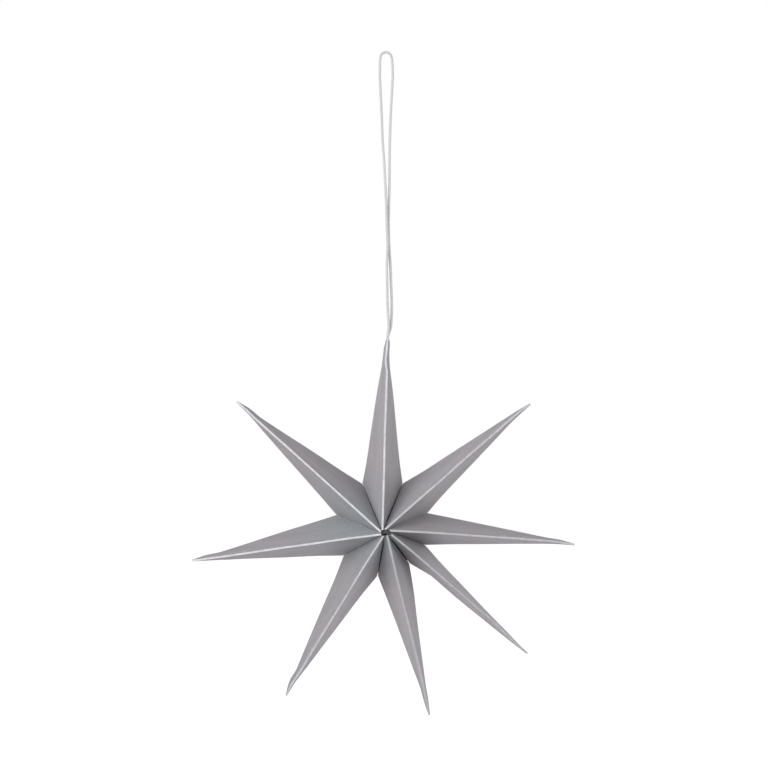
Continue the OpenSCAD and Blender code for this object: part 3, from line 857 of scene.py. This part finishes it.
def raw_board(tree, colours):
    """Raw cut edge of white board. The die leaves soft fibres that scatter the light, so the edge
    looks like chalk, and it is a little uneven every 1 to 3 mm along its length."""
    spot = add(tree, "ShaderNodeTexCoord").outputs["Object"]
    pulp = add(tree, "ShaderNodeTexNoise", {"Vector": spot, "Scale": 420, "Detail": 3})
    fibre = add(tree, "ShaderNodeTexNoise", {"Vector": spot, "Scale": 2600, "Detail": 2})
    shade = add(tree, "ShaderNodeMapRange", {
        "Value": pulp, **NOISE_RANGE, "To Min": 0.8, "To Max": 1})
    base = add(tree, "ShaderNodeMix", {0: 1, 6: opaque(colours.card_core), 7: shade}, **TIMES)
    tone = add(tree, "ShaderNodeAttribute", attribute_name="edge_tone").outputs["Fac"]
    base = add(tree, "ShaderNodeMix", {0: 1, 6: base, 7: tone}, **TIMES)
    fuzz = add(tree, "ShaderNodeBump", {"Height": fibre, "Strength": 0.4, "Distance": 0.00005})
    return add(tree, "ShaderNodeBsdfPrincipled", {
        "Base Color": base, "Roughness": 0.92, "Normal": fuzz, "IOR": 1.45})


def waxed_cotton(tree, colours):
    """Waxed cotton cord. The wax binds the yarns into a smooth round cord with a soft sheen, and
    the grooves between its plies look a little greyer."""
    groove = add(tree, "ShaderNodeAttribute", attribute_name="wear").outputs["Fac"]
    sheet = add(tree, "ShaderNodeUVMap", uv_map="sheet")
    # Yarns run along the cord: 0.12 mm across it, 1.5 mm along it
    stretched = add(tree, "ShaderNodeMapping", {"Vector": sheet, "Scale": (650, 8000, 1)})
    yarn = add(tree, "ShaderNodeTexNoise", {"Vector": stretched, "Scale": 1, "Detail": 2})
    shade = add(tree, "ShaderNodeMapRange", {
        "Value": yarn, **NOISE_RANGE, "To Min": 0.92, "To Max": 1})
    base = add(tree, "ShaderNodeMix", {0: 1, 6: opaque(colours.cord_white), 7: shade}, **TIMES)
    # The grooves between the plies are a little greyer
    groove_grey = add(tree, "ShaderNodeMath", {0: groove, 1: 0.12}, operation="MULTIPLY")
    base = add(tree, "ShaderNodeMix", {0: groove_grey, 6: base, 7: opaque(colours.cord_groove_grey)}, **MIX)
    bumps = add(tree, "ShaderNodeBump", {"Height": yarn, "Strength": 0.3, "Distance": 0.00004})
    return add(tree, "ShaderNodeBsdfPrincipled", {
        "Base Color": base, "Roughness": 0.62, "Normal": bumps, "IOR": 1.44})


def dried_glue(tree, colours):
    """White craft glue, dried to a dull skin with small pits. Its mottled dark grey is painted
    shade of the deep hub hole.
    """
    spot = add(tree, "ShaderNodeTexCoord").outputs["Object"]
    lumps = add(tree, "ShaderNodeTexNoise", {
        "Vector": spot, "Scale": 1500, "Detail": 3, "Roughness": 0.6})
    painted_shade = add(tree, "ShaderNodeMapRange", {
        "Value": lumps, "From Min": 0.38, "From Max": 0.62, "To Min": 0.3, "To Max": 1.7})
    base = add(tree, "ShaderNodeMix", {0: 1, 6: opaque(colours.glue_shade_grey), 7: painted_shade}, **TIMES)
    pits = add(tree, "ShaderNodeBump", {"Height": lumps, "Strength": 0.5, "Distance": 0.0002})
    return add(tree, "ShaderNodeBsdfPrincipled", {
        "Base Color": base, "Roughness": 0.55, "Normal": pits, "IOR": 1.46})


# Pieces and stage

def in_scene(name, data):
    """A new object at the origin, linked to the scene."""
    piece = bpy.data.objects.new(name, data)
    bpy.context.scene.collection.objects.link(piece)
    return piece


class CARDSTAR_OT_camera(bpy.types.Operator):
    """Places the camera before the star, a little to its left and above its middle"""

    bl_idname = "card_star.camera"
    bl_label = "Camera"

    def execute(self, context):
        target = np.array([-0.00071, 0, -0.12798])
        distance = 0.583
        view_width = 0.29797
        azimuth, elevation = math.radians(-1.39), math.radians(0.57)
        level = math.cos(elevation)
        back = np.array([
            math.sin(azimuth) * level, -math.cos(azimuth) * level, math.sin(elevation)])
        data = bpy.data.cameras.new("star_camera")
        data.lens = data.sensor_width * distance / view_width
        data.clip_start = 0.02
        data.clip_end = 20
        camera = in_scene("star_camera", data)
        camera.location = target + distance * back
        camera.rotation_euler = (math.pi / 2 - elevation, 0, azimuth)
        context.scene.camera = camera
        return {"FINISHED"}


class CARDSTAR_OT_hanging_cord(bpy.types.Operator):
    """Makes the waxed cord: one length folded double, with both tails in the top tip"""

    bl_idname = "card_star.hanging_cord"
    bl_label = "Hanging cord"

    def execute(self, context):
        sizes = context.scene.card_star_sizes
        path, tip = cord_path(sizes)
        tube = twisted_cord(path, sizes.cord_d, sizes.cord_lay)
        reach = np.linalg.norm(tube - path[:, None], axis=2)
        groove = np.clip((1 + PLY_RISE - reach / (sizes.cord_d / 2)) / PLY_RISE, 0, 1)
        mesh = closed_mesh("waxed_cord", [(tube, 0, groove, None)], CORD_SHARP)
        mesh.materials.append(new_material("waxed_cotton_cord", waxed_cotton))
        cord = in_scene("waxed_cord", mesh)
        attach(cord, "root")
        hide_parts("hanging_cord")
        return {"FINISHED"}


class CARDSTAR_OT_card_leaves(bpy.types.Operator):
    """Makes the sixteen folded card leaves, two for each arm"""

    bl_idname = "card_star.card_leaves"
    bl_label = "Card leaves"

    def execute(self, context):
        sizes = context.scene.card_star_sizes
        face = new_material("printed_matt_card", printed_card)
        edge = new_material("raw_board_edge", raw_board)
        for arm, arm_name in enumerate(ARMS):
            for side, letter in enumerate("ab"):
                shape = leaf_shape(sizes, arm, side)
                patches = [
                    (placed(sizes, shape, points), *rest)
                    for points, *rest in leaf_patches(sizes, shape)
                ]
                name = f"{arm_name}_card_{letter}"
                mesh = closed_mesh(name, patches, CARD_SHARP, EDGE_TONES[arm])
                mesh.materials.append(face)
                mesh.materials.append(edge)
                leaf = in_scene(name, mesh)
                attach(leaf, "root")
                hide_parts(f"{arm_name}_leaf_{letter}")
        return {"FINISHED"}


class CARDSTAR_OT_hub_glue(bpy.types.Operator):
    """Makes the dab of dried glue that holds the clipped corners together inside the hub"""

    bl_idname = "card_star.hub_glue"
    bl_label = "Hub glue"

    def execute(self, context):
        sizes = context.scene.card_star_sizes
        mesh = closed_mesh("hub_glue", [(glue_dab(sizes), 0, None, None)], GLUE_SHARP)
        mesh.materials.append(new_material("dried_craft_glue", dried_glue))
        dab = in_scene("hub_glue", mesh)
        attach(dab, "root")
        return {"FINISHED"}


class CARDSTAR_OT_studio(bpy.types.Operator):
    """Makes the pale floor, the plain world light and the soft lamps"""

    bl_idname = "card_star.studio"
    bl_label = "Studio"

    def execute(self, context):
        ring = np.linspace(0, FLOOR_RADIUS, 12)[:, None]
        angle = np.linspace(0, 2 * np.pi, 49)[None]
        height = FLOOR_Z + 0 * ring * angle
        flat = np.stack([ring * np.cos(angle), ring * np.sin(angle), height], axis=2)
        mesh = bpy.data.meshes.new("studio_floor")
        mesh.from_pydata(flat.reshape(-1, 3), [], grid_faces(*height.shape, 0))
        merge(mesh, FLOOR_MERGE_REACH, lambda work: sum(f.normal.z for f in work.faces) < 0)
        mesh.materials.append(new_material("studio_floor_paint", self.floor_paint))
        in_scene("studio_floor", mesh)
        for name, way, power in LAMPS:
            self.lamp(name, way, power)
        self.world(context.scene)
        context.scene.view_settings.view_transform = "Standard"
        return {"FINISHED"}

    @staticmethod
    def floor_paint(tree, colours):
        """Matt white floor. What the lamps leave short of white, the camera sees added, and the
        star's shadow stays."""
        paint = add(tree, "ShaderNodeBsdfDiffuse", {"Color": opaque(colours.floor_paint)})
        lift = add(tree, "ShaderNodeMath", {
            0: as_seen(tree), 1: FLOOR_LIFT, 2: FLOOR_GLOW}, operation="MULTIPLY_ADD")
        glow = add(tree, "ShaderNodeEmission", {
            "Color": opaque(colours.studio_white), "Strength": lift})
        return add(tree, "ShaderNodeAddShader", {0: paint, 1: glow})

    @staticmethod
    def lamp(name, way, power):
        """A square soft lamp that faces the star's middle."""
        data = bpy.data.lights.new(name, "AREA")
        data.shape = "SQUARE"
        data.size = LAMP_WIDTH
        data.energy = power
        lamp = in_scene(name, data)
        way = np.array(way) / np.linalg.norm(way)
        lamp.location = STAR_MIDDLE + LAMP_DISTANCE * way
        lamp.rotation_euler = (math.acos(way[2]), 0, math.atan2(way[0], -way[1]))

    @staticmethod
    def world(scene):
        """Even light all round, and white where the camera sees past the star."""
        world = bpy.data.worlds.new("studio_light")
        world.use_nodes = True
        tree = world.node_tree
        tree.nodes.clear()
        light = add(tree, "ShaderNodeBackground", {"Color": (1, 1, 1, 1), "Strength": EVEN_LIGHT})
        white = add(tree, "ShaderNodeBackground", {
            "Color": opaque(scene.card_star_colours.studio_white), "Strength": 1})
        both = add(tree, "ShaderNodeMixShader", {0: as_seen(tree), 1: light, 2: white})
        add(tree, "ShaderNodeOutputWorld", {"Surface": both})
        scene.world = world


class CARDSTAR_PT_panel(bpy.types.Panel):
    """Lists the star's sizes, colours and steps"""

    bl_idname = "CARDSTAR_PT_panel"
    bl_label = "Card star"
    bl_space_type = "VIEW_3D"
    bl_region_type = "UI"
    bl_category = "Card star"

    def draw(self, context):
        for group in (context.scene.card_star_sizes, context.scene.card_star_colours):
            box = self.layout.box()
            for name in group.__annotations__:
                box.prop(group, name)
        for step in STEPS:
            self.layout.operator(step.bl_idname)


STEPS = (
    CARDSTAR_OT_camera,
    CARDSTAR_OT_hanging_cord,
    CARDSTAR_OT_card_leaves,
    CARDSTAR_OT_hub_glue,
    CARDSTAR_OT_studio,
)
CLASSES = (CardStarSizes, CardStarColours, *STEPS, CARDSTAR_PT_panel)


def register():
    for one in CLASSES:
        bpy.utils.register_class(one)
    bpy.types.Scene.card_star_sizes = bpy.props.PointerProperty(type=CardStarSizes)
    bpy.types.Scene.card_star_colours = bpy.props.PointerProperty(type=CardStarColours)


def unregister():
    del bpy.types.Scene.card_star_colours
    del bpy.types.Scene.card_star_sizes
    for one in reversed(CLASSES):
        bpy.utils.unregister_class(one)


def main():
    """Registers the add-on and makes every piece."""
    register()
    bpy.ops.card_star.camera()
    bpy.ops.card_star.hanging_cord()
    bpy.ops.card_star.card_leaves()
    bpy.ops.card_star.hub_glue()
    bpy.ops.card_star.studio()


if __name__ == "__main__":
    main()
